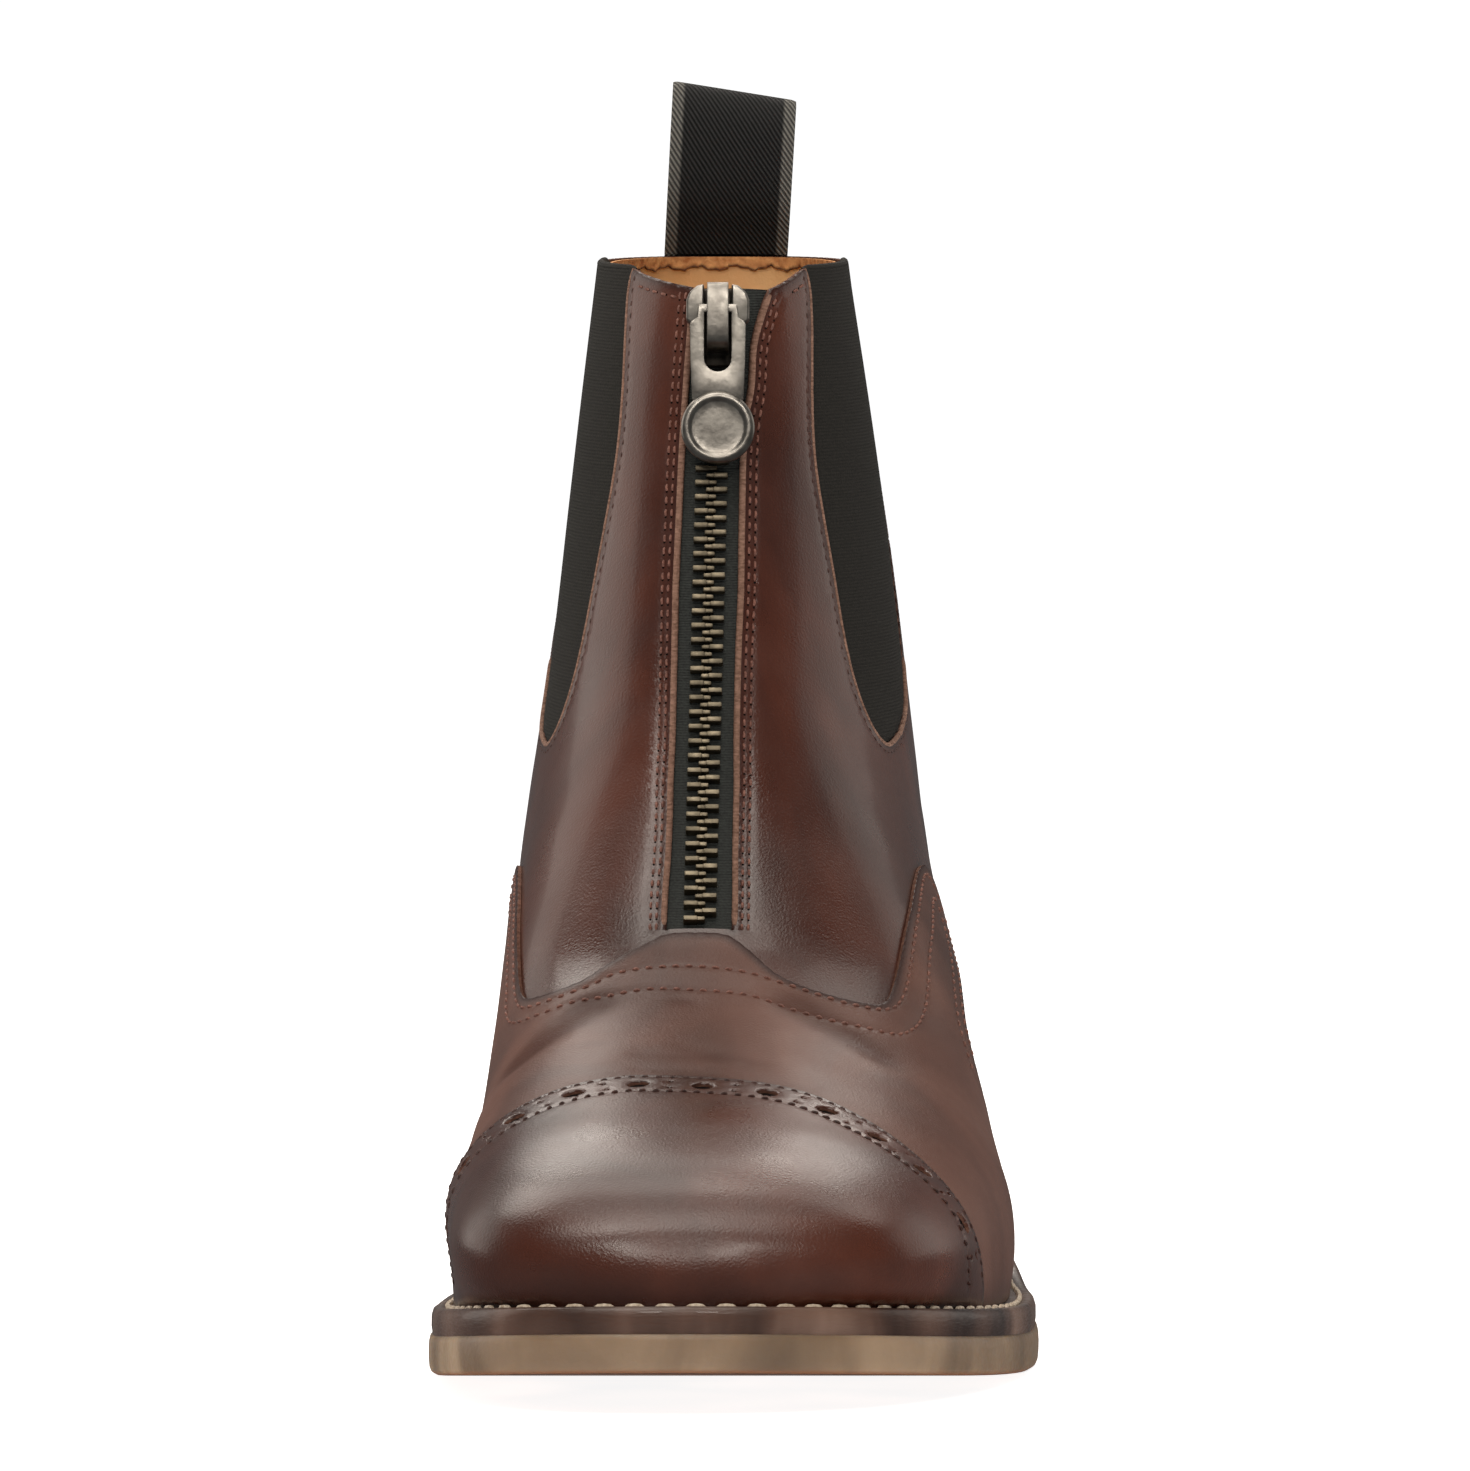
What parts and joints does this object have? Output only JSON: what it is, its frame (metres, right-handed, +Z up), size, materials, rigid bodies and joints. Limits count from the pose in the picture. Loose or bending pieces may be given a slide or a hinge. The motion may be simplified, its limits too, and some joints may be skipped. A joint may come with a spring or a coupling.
{
  "type": "jodhpur boot",
  "caption": "Ankle-high leather boot with a front zip, elastic side gores, capped toe, welted sole and a webbing pull loop at the back of its collar.",
  "frame": {"origin": "middle of the boot's footprint, on the floor it stands on", "axes": "+Z up, -Y toward the toe, +X toward the outer side of the left foot"},
  "size_m": [0.1004, 0.2804, 0.209],
  "materials": {
    "leather": "semi-gloss",
    "welt": "satin",
    "sole": "satin",
    "heel": "satin",
    "insole": "matte",
    "elastic": "matte",
    "tape": "matte",
    "teeth": "antique",
    "pewter": "polished",
    "webbing": "matte"
  },
  "bodies": {
    "boot": {"outsole": "sole", "heel": "heel", "welt": "welt", "insole": "insole", "upper": "leather", "vamp": "leather", "toe_cap": "leather", "gore_inner": "elastic", "gore_outer": "elastic", "zip_tape": "tape", "zip_chain": "teeth", "zip_slider": "pewter", "pull_loop": "webbing"},
    "pull_tab": {"zip_pull": "pewter"}
  },
  "joints": [
    {"name": "pull_swing", "type": "hinge", "parent": "boot", "child": "pull_tab", "pos_m": [-0.0029, 0.02029, 0.17193], "axis": [-1, 0, 0], "range_deg": [0, 165]}
  ]
}
